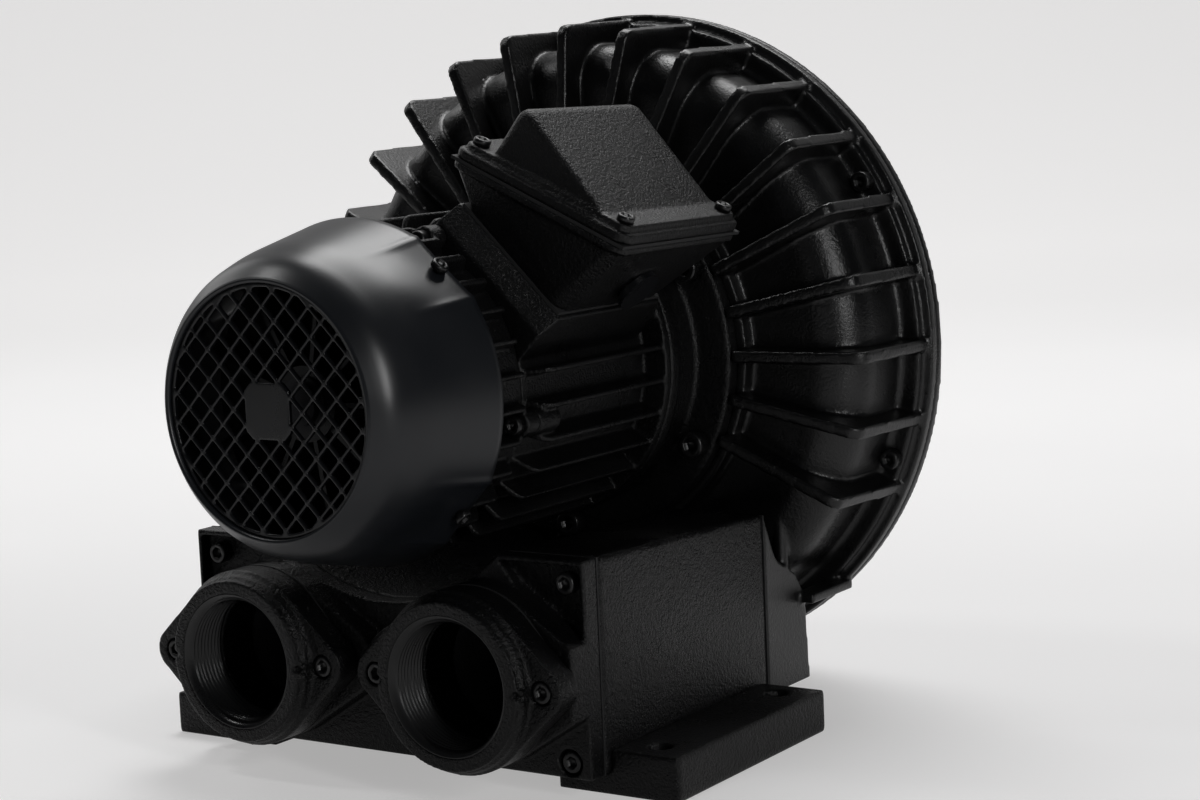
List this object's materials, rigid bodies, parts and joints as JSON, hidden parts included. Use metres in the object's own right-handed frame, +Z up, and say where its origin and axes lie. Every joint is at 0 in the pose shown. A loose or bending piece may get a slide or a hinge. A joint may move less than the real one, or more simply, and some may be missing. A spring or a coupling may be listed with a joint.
{
  "type": "radial compressor",
  "caption": "Ring channel blower: finned motor with fan cowl and terminal box, ribbed ring casing, and a silencer box with threaded ports on flat feet.",
  "frame": {"origin": "centre of the rectangle of foot holes, on the floor under the feet", "axes": "+X to the right as seen from the port side, along the row of ports; +Y from the ports back to the ring casing, along the motor axis; +Z up"},
  "size_m": [0.3406, 0.3579, 0.3493],
  "materials": {
    "black_casting": "semi-gloss black paint over a sand casting",
    "black_iron": "semi-gloss black paint over cast iron",
    "black_sheet": "satin black paint over pressed sheet",
    "black_plastic": "matte black",
    "black_screw": "black painted steel",
    "bare_aluminium": "machined",
    "bare_steel": "ground and machined",
    "brown_plastic": "moulded",
    "brass": "bright",
    "enamelled_wire": "varnished copper wire",
    "seal_rubber": "matte",
    "grey_felt": "open foam"
  },
  "bodies": {
    "housing": {"cable_entry_plug": "black_plastic", "cover_screws": "black_screw", "cover_seal": "seal_rubber", "cowl_grille": "black_plastic", "cowl_screws": "black_screw", "drive_bearing_outer_race": "bare_steel", "drive_end_shield": "black_iron", "fan_cowl": "black_sheet", "flange_screws": "black_screw", "foot_left": "black_casting", "foot_right": "black_casting", "foot_screws": "bare_steel", "front_plate": "black_casting", "front_plate_gasket": "seal_rubber", "front_plate_screws": "black_screw", "inlet_port_flange": "black_casting", "inlet_port_gasket": "seal_rubber", "inlet_silencer_sleeve": "grey_felt", "motor_frame": "black_iron", "neck_gasket": "seal_rubber", "neck_screws": "bare_steel", "non_drive_end_shield": "black_iron", "outlet_port_flange": "black_casting", "outlet_port_gasket": "seal_rubber", "outlet_silencer_sleeve": "grey_felt", "port_screws": "black_screw", "rear_cover": "black_casting", "shaft_seal": "seal_rubber", "shield_screws": "black_screw", "side_channel_casing": "black_casting", "silencer_housing": "black_casting", "stator_core": "bare_steel", "stator_windings": "enamelled_wire", "tail_bearing_outer_race": "bare_steel", "terminal_block": "brown_plastic", "terminal_box": "black_iron", "terminal_box_gasket": "seal_rubber", "terminal_box_screws": "bare_steel", "terminal_lid": "black_iron", "terminal_lid_gasket": "seal_rubber", "terminal_lid_screws": "black_screw", "terminal_studs": "brass"},
    "rotor": {"cooling_fan": "black_plastic", "drive_bearing_inner_race": "bare_steel", "fan_retaining_ring": "bare_steel", "impeller": "bare_aluminium", "impeller_key": "bare_steel", "impeller_screw": "bare_steel", "impeller_washer": "bare_steel", "motor_shaft": "bare_steel", "rotor_core": "bare_steel", "rotor_end_rings": "bare_aluminium", "tail_bearing_inner_race": "bare_steel"}
  },
  "joints": [
    {"name": "shaft_spin", "type": "hinge", "parent": "housing", "child": "rotor", "pos_m": [0, 0, 0.179], "axis": [0, 1, 0], "continuous": true}
  ]
}
